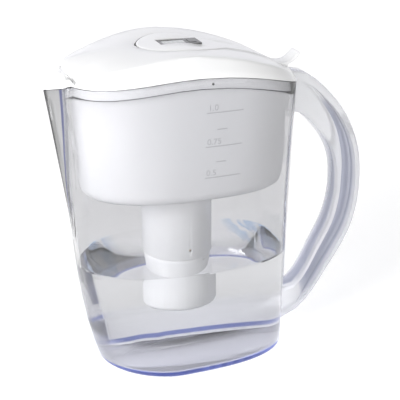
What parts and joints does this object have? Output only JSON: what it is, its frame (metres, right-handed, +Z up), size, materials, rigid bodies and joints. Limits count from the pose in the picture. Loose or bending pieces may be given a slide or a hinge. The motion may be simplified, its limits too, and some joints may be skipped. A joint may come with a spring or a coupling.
{
  "type": "water filter pitcher",
  "caption": "Clear oval pitcher with a pointed spout, bow handle, white hopper with a filter cartridge, and a lid with a flip filler door, timer and spout flap.",
  "frame": {"origin": "on the table, in the middle of the base's width, under the middle of the body's rim", "axes": "+Z up, +X towards the handle and -X towards the spout, +Y away from the side that carries the level marks"},
  "size_m": [0.247, 0.1166, 0.2502],
  "materials": {
    "clear_plastic": "clear",
    "white_plastic": "gloss",
    "hopper_plastic": "satin",
    "dark_plastic": "satin",
    "steel": "brushed",
    "rubber": "matte",
    "mesh": "woven",
    "mineral": "granular",
    "resin": "granular",
    "carbon": "granular",
    "window": "clear",
    "display": "matte",
    "board": "matte"
  },
  "bodies": {
    "pitcher": {"jug": "clear_plastic", "handle": "clear_plastic"},
    "funnel": {"hopper": "hopper_plastic"},
    "top": {"lid": "white_plastic", "flip_lid_pin": "steel", "spout_flap_pin": "steel"},
    "filler_door": {"flip_lid": "white_plastic", "timer_case": "white_plastic", "timer_bezel": "dark_plastic", "timer_glass": "window", "timer_display": "display", "timer_board": "board", "timer_cell": "steel", "cell_cover": "white_plastic"},
    "spout_door": {"spout_flap": "white_plastic"},
    "filter": {"cartridge_case": "white_plastic", "cartridge_base": "white_plastic", "cartridge_cap": "white_plastic", "cartridge_seal": "rubber", "inlet_screen": "mesh", "middle_screen": "mesh", "outlet_screen": "mesh", "mineral_bed": "mineral", "resin_bed": "resin", "carbon_bed": "carbon"},
    "button": {"reset_button": "dark_plastic"}
  },
  "joints": [
    {"name": "hopper_lift", "type": "slide", "parent": "pitcher", "child": "funnel", "axis": [0, 0, 1], "range_m": [0, 0.19]},
    {"name": "lid_lift", "type": "slide", "parent": "funnel", "child": "top", "axis": [0, 0, 1], "range_m": [0, 0.06]},
    {"name": "filter_lift", "type": "slide", "parent": "funnel", "child": "filter", "axis": [0, 0, 1], "range_m": [0, 0.06]},
    {"name": "flip_lid_hinge", "type": "hinge", "parent": "top", "child": "filler_door", "pos_m": [0.0725, 0, 0.22413], "axis": [0, 1, 0], "range_deg": [0, 40]},
    {"name": "spout_flap_hinge", "type": "hinge", "parent": "top", "child": "spout_door", "pos_m": [-0.08743, 0, 0.2363], "axis": [0, 1, 0], "range_deg": [0, 30]},
    {"name": "reset_press", "type": "slide", "parent": "filler_door", "child": "button", "axis": [0, 0, -1], "range_m": [0, 0.0008], "stiffness_N_per_m": 500}
  ]
}
